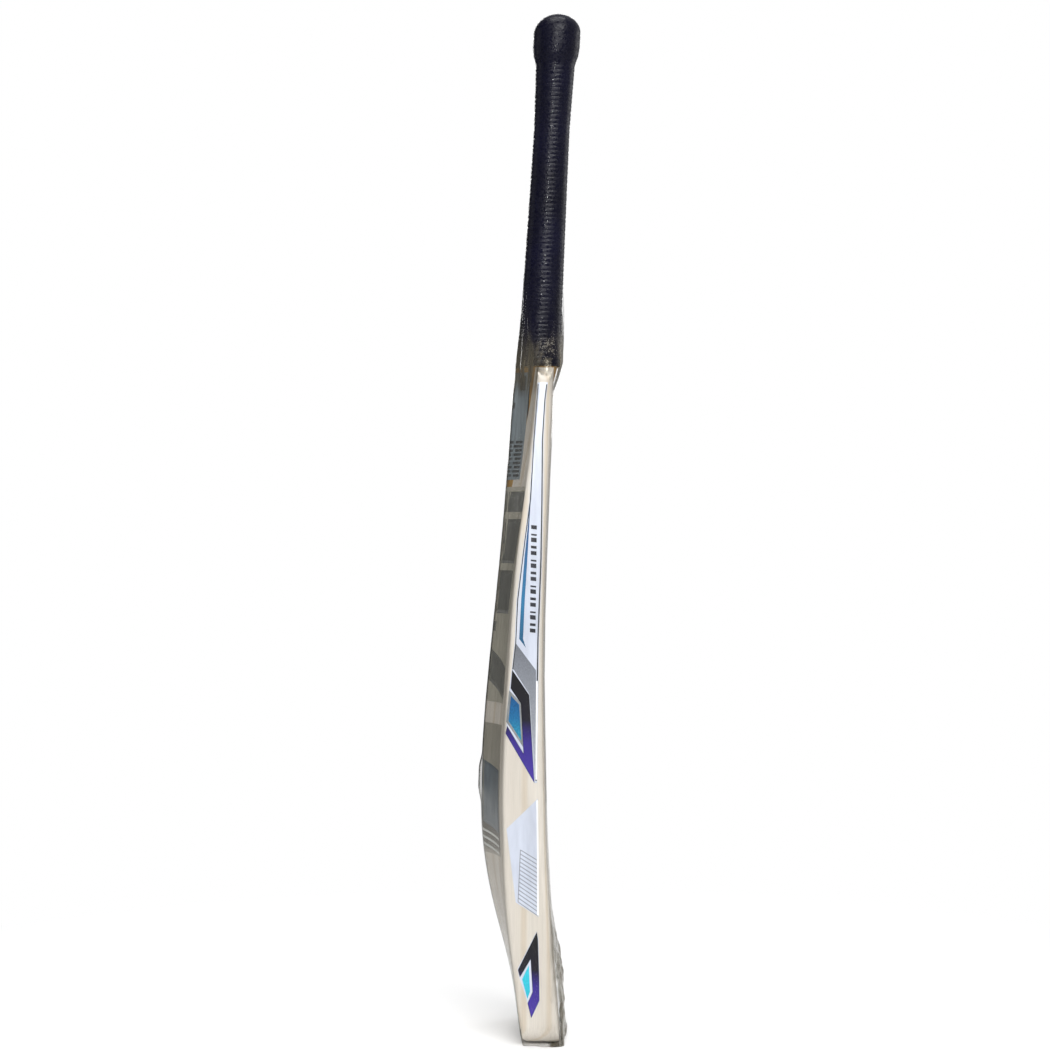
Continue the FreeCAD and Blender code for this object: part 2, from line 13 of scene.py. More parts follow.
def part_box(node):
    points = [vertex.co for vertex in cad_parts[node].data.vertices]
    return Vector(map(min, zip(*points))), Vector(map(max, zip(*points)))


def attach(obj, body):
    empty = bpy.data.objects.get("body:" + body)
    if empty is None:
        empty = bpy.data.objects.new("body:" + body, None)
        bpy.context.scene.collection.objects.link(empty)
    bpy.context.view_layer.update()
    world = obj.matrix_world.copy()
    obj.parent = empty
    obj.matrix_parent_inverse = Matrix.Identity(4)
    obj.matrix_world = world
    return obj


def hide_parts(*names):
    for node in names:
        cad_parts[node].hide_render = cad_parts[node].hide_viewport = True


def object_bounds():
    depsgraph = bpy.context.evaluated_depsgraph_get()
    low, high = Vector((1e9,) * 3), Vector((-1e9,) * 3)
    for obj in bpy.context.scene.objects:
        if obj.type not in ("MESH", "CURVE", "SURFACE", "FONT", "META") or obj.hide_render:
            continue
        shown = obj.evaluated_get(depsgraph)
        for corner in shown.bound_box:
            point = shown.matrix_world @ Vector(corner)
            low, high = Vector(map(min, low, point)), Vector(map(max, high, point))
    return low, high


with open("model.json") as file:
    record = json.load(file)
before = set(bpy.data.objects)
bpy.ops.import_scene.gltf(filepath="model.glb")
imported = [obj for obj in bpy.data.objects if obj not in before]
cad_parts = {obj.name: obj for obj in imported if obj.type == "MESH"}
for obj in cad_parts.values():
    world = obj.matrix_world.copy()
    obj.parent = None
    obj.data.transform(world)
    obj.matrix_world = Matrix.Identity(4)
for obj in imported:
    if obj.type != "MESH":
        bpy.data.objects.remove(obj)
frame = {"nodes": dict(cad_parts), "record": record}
cad_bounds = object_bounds()

NODES = frame["nodes"]
MM = 0.001
# How far out search rays start, clear of the whole bat.
REACH = 0.15


# ------------------------------------------------------------ node materials


def colour(red, green, blue):
    """Linear colour of a display colour given in 8-bit steps."""
    parts = [((part / 255 + 0.055) / 1.055) ** 2.4 for part in (red, green, blue)]
    return (*parts, 1.0)


class Look:
    """A node material being put together round one main shader."""

    def __init__(self, name):
        self.material = bpy.data.materials.new(name)
        self.material.use_nodes = True
        self.nodes = self.material.node_tree.nodes
        self.links = self.material.node_tree.links
        self.shader = self.nodes["Principled BSDF"]

    def feed(self, socket, value):
        """Link a socket to an output, or set it to a constant."""
        if isinstance(value, bpy.types.NodeSocket):
            self.links.new(value, socket)
        else:
            socket.default_value = value

    def add(self, kind, inputs=None, **settings):
        """New node with its settings and inputs."""
        node = self.nodes.new(f"ShaderNode{kind}")
        for key, value in settings.items():
            setattr(node, key, value)
        for key, value in (inputs or {}).items():
            self.feed(node.inputs[key], value)
        return node

    def shade(self, **inputs):
        """Set inputs of the main shader, with spaces written as underscores."""
        for key, value in inputs.items():
            self.feed(self.shader.inputs[key.replace("_", " ")], value)

    def spot(self, scale=(1, 1, 1), turn=0.0):
        """Place on the object, stretched by a scale and turned about the bat's axis."""
        place = self.add("TexCoord").outputs["Object"]
        inputs = {"Vector": place, "Scale": scale, "Rotation": (0, 0, turn)}
        return self.add("Mapping", inputs).outputs["Vector"]

    def mottle(self, scale, detail=2.0, rough=0.5):
        """Soft noise, from 0 to 1, at a scale per metre along each axis."""
        inputs = {"Vector": self.spot(scale), "Scale": 1.0, "Detail": detail, "Roughness": rough}
        return self.add("TexNoise", inputs).outputs["Fac"]

    def height(self, low, high):
        """Height on the object, from 0 at low to 1 at high, in millimetres."""
        parts = self.add("SeparateXYZ", {"Vector": self.spot()})
        inputs = {"Value": parts.outputs["Z"], "From Min": low * MM, "From Max": high * MM}
        return self.add("MapRange", inputs).outputs["Result"]

    def ramp(self, factor, stops):
        """Colours along a factor."""
        node = self.add("ValToRGB", {"Fac": factor})
        elements = node.color_ramp.elements
        for index, (place, tone) in enumerate(stops):
            element = elements[index] if index < 2 else elements.new(place)
            element.position = place
            element.color = tone
        return node.outputs["Color"]

    def levels(self, factor, low, high, bottom=0.0, top=1.0):
        """Factor remapped so that bottom gives low and top gives high."""
        inputs = {
            "Value": factor, "From Min": bottom, "From Max": top, "To Min": low, "To Max": high,
        }
        return self.add("MapRange", inputs).outputs["Result"]

    def multiply(self, first, second):
        """Product of two colours."""
        return self.blend(first, second, 1.0, blend_type="MULTIPLY")

    def blend(self, first, second, factor, **settings):
        """Colour that goes from the first to the second along a factor."""
        node = self.add("Mix", {"Factor": factor}, data_type="RGBA", **settings)
        sockets = [socket for socket in node.inputs if socket.type == "RGBA"]
        self.feed(sockets[0], first)
        self.feed(sockets[1], second)
        return next(socket for socket in node.outputs if socket.type == "RGBA")

    def product(self, first, second):
        """Product of two factors."""
        return self.add("Math", {0: first, 1: second}, operation="MULTIPLY").outputs[0]

    def total(self, first, second):
        """Sum of two factors, at most 1."""
        return self.add("Math", {0: first, 1: second}, operation="ADD", use_clamp=True).outputs[0]

    def window(self, low, high, fade, axis):
        """1 between low and high along an axis, falling to 0 over the fade, in millimetres."""
        place = self.add("SeparateXYZ", {"Vector": self.spot()}).outputs[axis]
        rise = self.levels(place, 0.0, 1.0, (low - fade) * MM, low * MM)
        fall = self.levels(place, 1.0, 0.0, high * MM, (high + fade) * MM)
        return self.product(rise, fall)

    def bump(self, factor, distance, strength=1.0):
        """Normal raised by a factor, with its depth in millimetres."""
        inputs = {"Height": factor, "Distance": distance * MM, "Strength": strength}
        return self.add("Bump", inputs).outputs["Normal"]

    def cover(self, factor, first, second):
        """Show a mix of two shaders in place of the main one alone."""
        mix = self.add("MixShader", {"Fac": factor, 1: first, 2: second})
        self.feed(self.nodes["Material Output"].inputs["Surface"], mix.outputs[0])


def grey(level):
    """Plain grey, as a linear factor for multiplying."""
    return (level, level, level, 1.0)


def willow():
    """Pale sanded willow with straight grain up the blade."""
    look = Look("willow")
    streaks = look.mottle((70, 42, 1.3), detail=3)
    fibres = look.mottle((1500, 1500, 26), detail=4, rough=0.6)
    wave = look.add(
        "TexWave",
        {
            "Vector": look.spot((1, 1, 0.05), turn=0.5), "Scale": 31.0, "Distortion": 1.4,
            "Detail": 2.0, "Detail Scale": 0.6,
        },
        bands_direction="X",
    ).outputs["Fac"]
    base = look.ramp(
        streaks,
        (
            (0.28, colour(196, 188, 176)), (0.5, colour(208, 201, 190)),
            (0.72, colour(219, 214, 205)),
        ),
    )
    rings = look.ramp(wave, ((0.0, colour(246, 240, 231)), (0.2, grey(1.0))))
    pores = look.ramp(fibres, ((0.3, grey(0.88)), (0.62, grey(1.0))))
    look.shade(
        Base_Color=look.multiply(look.multiply(base, rings), pores),
        Roughness=look.levels(fibres, 0.42, 0.62),
        Normal=look.bump(fibres, 0.05),
    )
    return look.material


def cane():
    """Golden brown cane, split lengthwise."""
    look = Look("cane")
    strands = look.mottle((420, 420, 5), detail=4, rough=0.65)
    nodes = look.mottle((60, 60, 14), detail=2)
    base = look.ramp(
        strands,
        ((0.3, colour(112, 80, 34)), (0.5, colour(158, 120, 58)), (0.7, colour(190, 152, 86))),
    )
    shade = look.ramp(nodes, ((0.3, grey(0.8)), (0.65, grey(1.0))))
    look.shade(
        Base_Color=look.multiply(base, shade),
        Roughness=look.levels(strands, 0.38, 0.6),
        Normal=look.bump(strands, 0.08),
    )
    return look.material


def spring_rubber():
    """Thin dark rubber sheet."""
    look = Look("spring_rubber")
    grain = look.mottle((900, 900, 900), detail=3)
    look.shade(
        Base_Color=look.ramp(grain, ((0.3, colour(18, 18, 20)), (0.7, colour(36, 35, 36)))),
        Roughness=look.levels(grain, 0.6, 0.8),
        Normal=look.bump(grain, 0.04),
    )
    return look.material


def waxed_twine():
    """Glued brown twine."""
    look = Look("waxed_twine")
    strands = look.mottle((700, 700, 2600), detail=3, rough=0.7)
    look.shade(
        Base_Color=look.ramp(strands, ((0.3, colour(120, 92, 52)), (0.7, colour(186, 154, 104)))),
        Roughness=look.levels(strands, 0.5, 0.75),
        Normal=look.bump(strands, 0.12),
    )
    return look.material


def grip_rubber():
    """Dark navy rubber with a fine glossy pebble."""
    look = Look("grip_rubber")
    voronoi = look.add("TexVoronoi", {"Vector": look.spot((700, 700, 700)), "Scale": 1.0})
    cells = voronoi.outputs["Distance"]
    kind = look.add("SeparateColor", {"Color": voronoi.outputs["Color"]}).outputs["Red"]
    fine = look.mottle((1500, 1500, 1500), detail=2)
    cloud = look.mottle((36, 36, 24), detail=3)
    pebble = look.bump(look.levels(cells, 1.0, 0.0, 0.05, 0.7), 0.07)
    grain = look.add("Bump", {"Height": fine, "Distance": 0.012 * MM, "Normal": pebble})
    look.shade(
        Specular_IOR_Level=0.2,
        Base_Color=look.ramp(cloud, ((0.3, colour(4, 4, 18)), (0.7, colour(9, 9, 30)))),
        Roughness=look.levels(kind, 0.44, 0.05, 0.5, 0.8),
        Normal=grain.outputs["Normal"],
    )
    return look.material


def printed(name, dark, light, metallic=0.0, rough=(0.25, 0.4), scale=(300, 300, 60)):
    """Glossy print that varies a little between two tones."""
    look = Look(name)
    cloud = look.mottle(scale, detail=4, rough=0.6)
    grain = look.mottle((2600, 2600, 2600), detail=1)
    look.shade(
        Base_Color=look.ramp(cloud, ((0.3, colour(*dark)), (0.7, colour(*light)))),
        Metallic=metallic,
        Roughness=look.levels(cloud, *rough),
        Normal=look.bump(grain, 0.012),
    )
    return look.material


def faded(name, low, high, stops, metallic=0.0, sparkle=0.12):
    """Glossy print whose colour changes with height, with a fine foil sparkle."""
    look = Look(name)
    tone = look.ramp(look.height(low, high), [(place, colour(*rgb)) for place, rgb in stops])
    flakes = look.mottle((900, 900, 700), detail=3, rough=0.7)
    glint = look.ramp(flakes, ((0.35, grey(1.0 - sparkle)), (0.65, grey(1.0))))
    look.shade(
        Base_Color=look.multiply(tone, glint),
        Metallic=metallic,
        Roughness=look.levels(flakes, 0.24, 0.42),
        Normal=look.bump(flakes, 0.02),
    )
    return look.material


def clear_film():
    """Clear polythene, more visible in folds, along its seam and where it turns away; its tones
    and the dark line along the seam are painted shade and reflection.
    """
    look = Look("clear_film")
    streaks = look.mottle((95, 95, 9), detail=4, rough=0.62)
    wrinkles = look.mottle((420, 420, 60), detail=3, rough=0.6)
    creases = look.mottle((150, 150, 22), detail=5, rough=0.7)
    normal = look.bump(wrinkles, 0.45, 0.6)
    # Painted shade and painted reflection: the film's grey-olive tones by height, darker at the
    # neck and over the handle.
    tone = look.ramp(
        look.height(0, 860),
        (
            (0.0, colour(120, 115, 100)), (0.1, colour(122, 117, 103)),
            (0.16, colour(122, 118, 106)), (0.6, colour(116, 112, 100)),
            (0.655, colour(112, 105, 90)), (0.7, colour(60, 60, 62)), (1.0, colour(56, 58, 64)),
        ),
    )
    front = look.add("SeparateXYZ", {"Vector": look.spot()}).outputs["Y"]
    seam_and_shade = look.product(
        look.product(look.window(-3, 3, 3, "X"), look.window(0, 60, 3, "Y")),
        look.window(140, 556, 60, "Z"),
    )
    # Along the lapped seam at the spine the tone is painted darker, a painted shade line where the
    # film turns away from view.
    tone = look.blend(tone, colour(44, 43, 36), seam_and_shade)
    shade = look.ramp(streaks, ((0.3, grey(0.8)), (0.7, grey(1.0))))
    look.shade(
        Base_Color=look.multiply(tone, shade),
        Metallic=0.35,
        Roughness=look.levels(wrinkles, 0.1, 0.26),
        Normal=normal,
    )
    facing = look.add("LayerWeight", {"Blend": 0.26, "Normal": normal}).outputs["Facing"]
    edge = look.levels(facing, 0.0, 0.72, 0.1, 0.95)
    veil = look.levels(streaks, 0.0, 0.07, 0.45, 0.72)
    flap = look.levels(front, 1.0, 0.0, -17 * MM, -14 * MM)
    toe = look.product(
        look.product(flap, look.window(-40, 92, 26, "Z")),
        look.total(
            look.levels(creases, 0.0, 0.34, 0.46, 0.68), look.levels(facing, 0.03, 0.85, 0.15, 0.7)
        ),
    )
    folds = look.total(
        look.levels(creases, 0.0, 0.6, 0.48, 0.64), look.levels(facing, 0.0, 0.85, 0.12, 0.6)
    )
    neck = look.product(look.window(550, 574, 16, "Z"), folds)
    tight = look.levels(look.height(590, 640), 1.0, 0.07)
    amount = look.product(look.total(edge, veil), tight)
    lapped = look.product(seam_and_shade, look.levels(facing, 0.14, 0.9, 0.2, 0.7))
    for part in (neck, toe, lapped):
        amount = look.total(amount, part)
    clear = look.add("BsdfTransparent").outputs[0]
    look.cover(amount, clear, look.shader.outputs[0])
    return look.material


def studio_floor():
    """Plain pale floor that fades into the surroundings away from the bat."""
    look = Look("studio_floor")
    cloud = look.mottle((3, 3, 3))
    look.shade(
        Base_Color=look.ramp(cloud, ((0.3, grey(0.96)), (0.7, grey(0.98)))),
        Roughness=look.levels(cloud, 0.75, 0.85),
    )
    away = look.add("VectorMath", {0: look.spot()}, operation="LENGTH").outputs["Value"]
    glow = look.add("Emission", {"Color": grey(1.0)}).outputs[0]
    fade = look.levels(away, 0.0, 1.0, 0.12, 0.75)
    look.cover(fade, look.shader.outputs[0], glow)
    return look.material


# ------------------------------------------------------------ mesh helpers


def surface_of(*names):
    """Search tree over the surfaces of some CAD nodes."""
    points = []
    faces = []
    for name in names:
        mesh = NODES[name].data
        start = len(points)
        points += [vertex.co.copy() for vertex in mesh.vertices]
        faces += [[start + index for index in face.vertices] for face in mesh.polygons]
    return BVHTree.FromPolygons(points, faces)


def new_piece(name, points, faces, material, smooth=True):
    """Mesh piece that rides on the bat."""
    mesh = bpy.data.meshes.new(name)
    mesh.from_pydata([tuple(point) for point in points], [], faces)
    mesh.validate()
    mesh.materials.append(material)
    mesh.polygons.foreach_set("use_smooth", [smooth] * len(mesh.polygons))
    mesh.update()
    piece = bpy.data.objects.new(name, mesh)
    bpy.context.scene.collection.objects.link(piece)
    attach(piece, "root")
    return piece


def ring_faces(rings, around, closed=True):
    """Quads between neighbouring rings of points."""
    steps = around if closed else around - 1
    faces = []
    for ring in range(rings - 1):
        for step in range(steps):
            after = (step + 1) % around
            low = ring * around
            high = low + around
            faces.append((low + step, low + after, high + after, high + step))
    return faces


def window(value, low, high, fade):
    """1 between low and high, falling smoothly to 0 over the fade outside."""
    outside = max(low - value, value - high, 0.0) / fade
    inside = max(0.0, 1.0 - outside)
    return inside * inside * (3 - 2 * inside)


def dress(material, *names):
    """Give CAD nodes a material."""
    for name in names:
        node = NODES[name]
        for place in node.material_slots:
            place.material = material


# ------------------------------------------------------------ handle

mount = next(m for m in frame["record"]["mounts"] if m["name"] == "hand_grip")
AXIS_POINT = Vector(mount["pos_m"])
AXIS_WAY = Vector(mount["axis"])


def on_axis(height):
    """Point of the handle's leaning axis at a height in metres."""
    return AXIS_POINT + AXIS_WAY * ((height - AXIS_POINT.z) / AXIS_WAY.z)


def outward(angle):
    """Level direction at an angle round the handle, from the face by +X."""
    return Vector((math.sin(angle), -math.cos(angle), 0))


def handle_radius(surface, height, angle):
    """Distance from the handle's axis out to a surface."""
    centre = on_axis(height)
    way = outward(angle)
    hit = surface.ray_cast(centre + way * REACH, -way)[0]
    return (hit - centre).length


# Height of the rounded dome on top of the knob, and where the knob begins.
DOME = 16.5 * MM
KNOB_FOOT = 818 * MM
# How far the grip's foot is rolled down, and how thick its rolled edge is.
FOOT_DROP = 1.6 * MM
FOOT_WALL = 1.6 * MM
FOOT_STEPS = 5
# Radius of the hole over the cane, and the shape of its lip as drops and shares of the radius.
HOLE = 4.0 * MM
HOLE_LIP = ((0.12, 0.96), (0.4, 0.92), (1.0, 0.9), (1.8, 0.9), (2.4, 0.9))
LIP_DROP = 0.4
# Moulded rings of the grip: their pitch, how often one is deep, and the two depths.
RIB_PITCH = 3.75 * MM
DEEP_EVERY = 3
RIB_DEPTHS = (0.2 * MM, 0.34 * MM)
RIB_FADE = 6 * MM
# Points round the handle, height between rings of points, and steps over the dome.
AROUND = 72
RING_STEP = 0.5 * MM
DOME_STEPS = 24
# Twine: its pitch, depth of the groove between turns, and the wound length that shows.
TWINE_PITCH = 0.8 * MM
TWINE_GROOVE = 0.12 * MM
TWINE_SHOWN = 16 * MM
TURN_STEPS = 8
PLAIN_STEPS = 60


def rib_depth(height):
    """How deep the grip's moulded rings are cut at a height, in metres."""
    turn = height / RIB_PITCH
    groove = math.exp(-(((turn - round(turn)) / 0.18) ** 2))
    deep = round(turn) % DEEP_EVERY == 0
    below_knob = 1 - window(height, KNOB_FOOT, 1, RIB_FADE)
    return RIB_DEPTHS[deep] * groove * below_knob


def build_grip():
    """Rubber grip with moulded rings, a rounded knob and a hole over the cane."""
    low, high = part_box("rubber_grip")
    surface = surface_of("rubber_grip")
    lip = 0.8 * MM
    shoulder = high.z - DOME
    angles = [math.tau * step / AROUND for step in range(AROUND)]
    rings = []
    for part in range(FOOT_STEPS):
        turn = math.pi * part / 8
        inset = FOOT_WALL * (1 - math.sin(turn))
        height = low.z - FOOT_DROP * (1 - part / FOOT_STEPS)
        radii = [handle_radius(surface, low.z + lip, angle) - inset for angle in angles]
        rings.append((height, radii))
    count = int((shoulder - low.z - lip) / RING_STEP)
    for step in range(1, count + 1):
        height = low.z + lip + (shoulder - low.z - lip) * step / count
        fade = min(1.0, (shoulder - height) / RIB_FADE)
        depth = rib_depth(height) * fade
        radii = [handle_radius(surface, height, angle) - depth for angle in angles]
        rings.append((height, radii))
    rim = [handle_radius(surface, shoulder, angle) for angle in angles]
    last = math.acos(HOLE / max(rim))
    for step in range(1, DOME_STEPS + 1):
        turn = last * step / DOME_STEPS
        height = shoulder + DOME * math.sin(turn)
        rings.append((height, [radius * math.cos(turn) for radius in rim]))
    rounded = rings[-1][1]
    for drop, share in HOLE_LIP:
        height = rings[-1][0] - drop * MM * LIP_DROP
        rings.append((height, [radius * share for radius in rounded]))
    points = []
    for height, radii in rings:
        centre = on_axis(height)
        for angle, radius in zip(angles, radii):
            flutter = noise.noise(Vector((angle * 4, height * 260, 3.1))) * 0.05 * MM
            points.append(centre + outward(angle) * (radius + flutter))
    grip = new_piece(
        "ribbed_grip", points, ring_faces(len(rings), AROUND), grip_rubber()
    )
    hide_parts("rubber_grip")


def build_twine():
    """Twine wound round the cane, turn on turn where it shows under the grip."""
    low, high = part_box("twine_binding")
    surface = surface_of("twine_binding")
    wound = int(TWINE_SHOWN / TWINE_PITCH * TURN_STEPS)
    heights = [low.z + TWINE_PITCH * step / TURN_STEPS for step in range(wound)]
    plain = high.z - low.z - TWINE_SHOWN
    heights += [
        low.z + TWINE_SHOWN + plain * step / PLAIN_STEPS for step in range(PLAIN_STEPS + 1)
    ]
    points = []
    for height in heights:
        centre = on_axis(height)
        for step in range(AROUND):
            angle = math.tau * step / AROUND
            phase = height / TWINE_PITCH + step / AROUND
            groove = TWINE_GROOVE * (1 - abs(math.sin(math.pi * phase)))
            inside = min(max(height, low.z + 0.01 * MM), high.z - 0.01 * MM)
            radius = handle_radius(surface, inside, angle) - groove
            points.append(centre + outward(angle) * radius)
    twine = new_piece(
        "twine_turns", points, ring_faces(len(heights), AROUND), waxed_twine()
    )
    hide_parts("twine_binding")


# ------------------------------------------------------------ edge prints

EDGE_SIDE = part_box("edge_sticker_upper_right")[1].x
# Thickness of a printed layer, height from one layer to the next, and gap under the first.
PLATE = 0.04 * MM
LAYER = 0.06 * MM
LAYER_GAP = 0.01 * MM


def grown(outline, amount):
    """Outline moved outward by an amount all round, corners kept sharp."""
    count = len(outline)
    area = sum(
        outline[i][0] * outline[(i + 1) % count][1] - outline[(i + 1) % count][0] * outline[i][1]
        for i in range(count)
    )
    hand = 1 if area > 0 else -1
    result = []
    for i in range(count):
        before = Vector(outline[i - 1])
        here = Vector(outline[i])
        after = Vector(outline[(i + 1) % count])
        first = (here - before).normalized()
        second = (after - here).normalized()
        out_first = Vector((first.y, -first.x)) * hand
        out_second = Vector((second.y, -second.x)) * hand
        middle = (out_first + out_second).normalized()
        reach = amount / max(0.35, middle.dot(out_first))
        result.append(tuple(here + middle * reach))
    return result


def ribbon(line, width):
    """Narrow strip along a line."""
    left = []
    right = []
    for i, spot in enumerate(line):
        here = Vector(spot)
        before = Vector(line[max(0, i - 1)])
        after = Vector(line[min(len(line) - 1, i + 1)])
        along = (after - before).normalized()
        side = Vector((-along.y, along.x)) * width / 2
        left.append(tuple(here + side))
        right.append(tuple(here - side))
    return left + right[::-1]


def edge_print(name, outlines, layer, material):
    """Printed shapes, given as depth and height in millimetres, on both edges."""
    points = []
    faces = []
    for side in (-1, 1):
        for outline in outlines:
            start = len(points)
            count = len(outline)
            inner = EDGE_SIDE + LAYER * layer + LAYER_GAP
            for plane in (inner, inner + PLATE):
                points += [(side * plane, y * MM, z * MM) for y, z in outline]
            faces.append([start + i for i in range(count)])
            faces.append([start + count + i for i in range(count)][::-1])
            for i in range(count):
                after = (i + 1) % count
                faces.append(
                    (start + i, start + count + i, start + count + after, start + after)
                )
    piece = new_piece(name, points, faces, material, smooth=False)
    fix_normals(piece)


def fix_normals(piece):
    """Turn every face of a closed piece outward."""
    work = bmesh.new()
    work.from_mesh(piece.data)
    bmesh.ops.recalc_face_normals(work, faces=work.faces)
    work.to_mesh(piece.data)
    work.free()


# Outlines on the edge, each point given as depth and height in millimetres.
UPPER_FRONT = (
    (-12.4, 543.6), (-10.9, 530.9), (-8.9, 498), (-8.5, 448.7), (-7.7, 399.5),
    (-5.2, 333.8), (-4.0, 251.6), (-3.7, 218.0),
)
UPPER_BACK = (
    (-5.4, 543.6), (-2.0, 498), (0.9, 448.7), (5.4, 415.9), (11.4, 366.6), (13.0, 331.3),
    (15.5, 309.5),
)
UPPER_BRACKET = (
    (15.7, 308.3), (2.2, 288.2), (-2.0, 217.2), (21.1, 257.1), (19.85, 262.3), (6.4, 239.6),
    (8.5, 281.4), (16.9, 294.0),
)
UPPER_LOZENGE = ((16.9, 287.8), (10.2, 280.6), (8.5, 250.8), (18.95, 267.2))
UPPER_STRIPE = (
    (-0.35, 473.4), (2.5, 432.3), (6.0, 399.5), (8.5, 366.6), (10.2, 334.6), (4.7, 327.2),
    (7.0, 334.6), (5.6, 366.6), (3.5, 399.5), (1.7, 432.3), (-0.85, 473.4),
)
UPPER_SILVER = (
    (13.2, 331.3), (-3.6, 308.7), (-3.9, 219.0), (-2.6, 219.0), (1.6, 288.8), (15.3, 310.2),
)
HATCH_BACK = ((9.2, 161.3), (11.1, 118.6))
HATCH_FRONT = ((-5.5, 152.3), (-5.5, 106.9))
# Thin white lines near the front of each edge, as depth and height in millimetres.
WHITE_LINES = (
    ((-4.4, 300), (-4.0, 251.6), (-3.9, 219.0)),
    ((-4.6, 202.0), (-5.1, 153.1), (-5.2, 107.5)),
)
TOE_BRACKET = (
    (-4.2, 93.2), (10.9, 62.8), (9.5, 57.6), (0.6, 72.4), (-1.1, 44.7), (3.0, 35.4),
    (0.2, 24.2), (-6.1, 37.8), (-5.9, 56.2), (-4.9, 87.4),
)
TOE_LOZENGE = ((2.3, 66.5), (1.3, 44.9), (3.5, 39.1), (7.8, 55.2))
VIOLET_STOPS = (
    (0.0, (72, 54, 160)), (0.36, (54, 38, 136)), (0.56, (13, 10, 30)), (1.0, (2, 2, 4)),
)
# Row of plain dashes: count, foot of the first, spacing, half width and the lengths in turn.
DASHES = 17
DASH_FOOT = 339.5
DASH_PITCH = 5.3
DASH_HALF = 2.3
DASH_LENGTHS = (3.2, 2.2, 3.6, 1.4)
HATCH_LINES = 14
HATCH_WIDTH = 0.5


def between(first, second, share):
    """Point part way from one to another."""
    return tuple(a + (b - a) * share for a, b in zip(first, second))


def build_edge_prints():
    """Stripes, brackets and lozenges printed on the edge stickers."""
    outline_grey = printed("outline_grey", (118, 122, 124), (156, 160, 160), metallic=0.4)
    dark_line = printed("dark_line", (34, 34, 32), (54, 53, 50))
    borders = [ribbon(UPPER_FRONT, 1.0), ribbon(UPPER_BACK, 0.8)]
    edge_print("sticker_borders", borders, 1, dark_line)
    edge_print(
        "silver_panel",
        [UPPER_SILVER],
        0,
        faded(
            "silver_foil",
            218,
            331,
            ((0.0, (186, 190, 200)), (0.45, (160, 165, 174)), (1.0, (112, 116, 124))),
            metallic=0.35,
            sparkle=0.22,
        ),
    )
    edge_print(
        "blue_stripe",
        [UPPER_STRIPE],
        1,
        faded(
            "blue_foil",
            327,
            474,
            (
                (0.0, (30, 86, 122)), (0.25, (44, 116, 158)), (0.6, (44, 88, 134)),
                (1.0, (40, 50, 74)),
            ),
            metallic=0.3,
        ),
    )
    edge_print(
        "bracket_outlines",
        [grown(UPPER_BRACKET, 0.35), grown(TOE_BRACKET, 0.35)],
        1,
        printed("bracket_rim", (30, 28, 44), (52, 50, 70), metallic=0.2),
    )
    edge_print(
        "upper_bracket", [UPPER_BRACKET], 2, faded("violet_upper", 217, 308, VIOLET_STOPS, 0.3)
    )
    edge_print("toe_bracket", [TOE_BRACKET], 2, faded("violet_toe", 24, 93, VIOLET_STOPS, 0.3))
    edge_print("lozenge_rims", [grown(UPPER_LOZENGE, 2.0)], 1, outline_grey)
    edge_print(
        "upper_lozenge",
        [UPPER_LOZENGE],
        2,
        faded(
            "blue_lozenge",
            250,
            288,
            ((0.0, (48, 166, 196)), (0.5, (26, 118, 172)), (1.0, (16, 84, 146))),
            metallic=0.3,
            sparkle=0.5,
        ),
    )
    edge_print(
        "toe_lozenge",
        [TOE_LOZENGE],
        2,
        faded(
            "cyan_lozenge",
            39,
            67,
            ((0.0, (40, 190, 214)), (1.0, (60, 214, 236))),
            metallic=0.35,
            sparkle=0.25,
        ),
    )
    dashes = []
    for step in range(DASHES):
        foot = DASH_FOOT + DASH_PITCH * step
        middle = -0.9 - 0.009 * (foot - DASH_FOOT) - 0.02 * step
        long = DASH_LENGTHS[step % len(DASH_LENGTHS)]
        dashes.append(
            [
                (middle - DASH_HALF, foot), (middle + DASH_HALF, foot + 0.5),
                (middle + DASH_HALF, foot + 0.5 + long), (middle - DASH_HALF, foot + long),
            ]
        )
    edge_print("dash_row", dashes, 1, printed("dash_black", (20, 22, 30), (38, 40, 52)))
    hatch = []
    for step in range(HATCH_LINES):
        share = step / (HATCH_LINES - 1)
        line = [between(*HATCH_BACK, share), between(*HATCH_FRONT, share)]
        hatch.append(ribbon(line, HATCH_WIDTH))
    hatch.append(ribbon(HATCH_BACK, HATCH_WIDTH))
    white = printed("line_white", (240, 241, 244), (250, 250, 252))
    edge_print("white_lines", [ribbon(line, 1.3) for line in WHITE_LINES], 3, white)
    edge_print("hatching", hatch, 0, printed("hatch_grey", (84, 87, 92), (116, 120, 126)))


# ------------------------------------------------------------ back prints


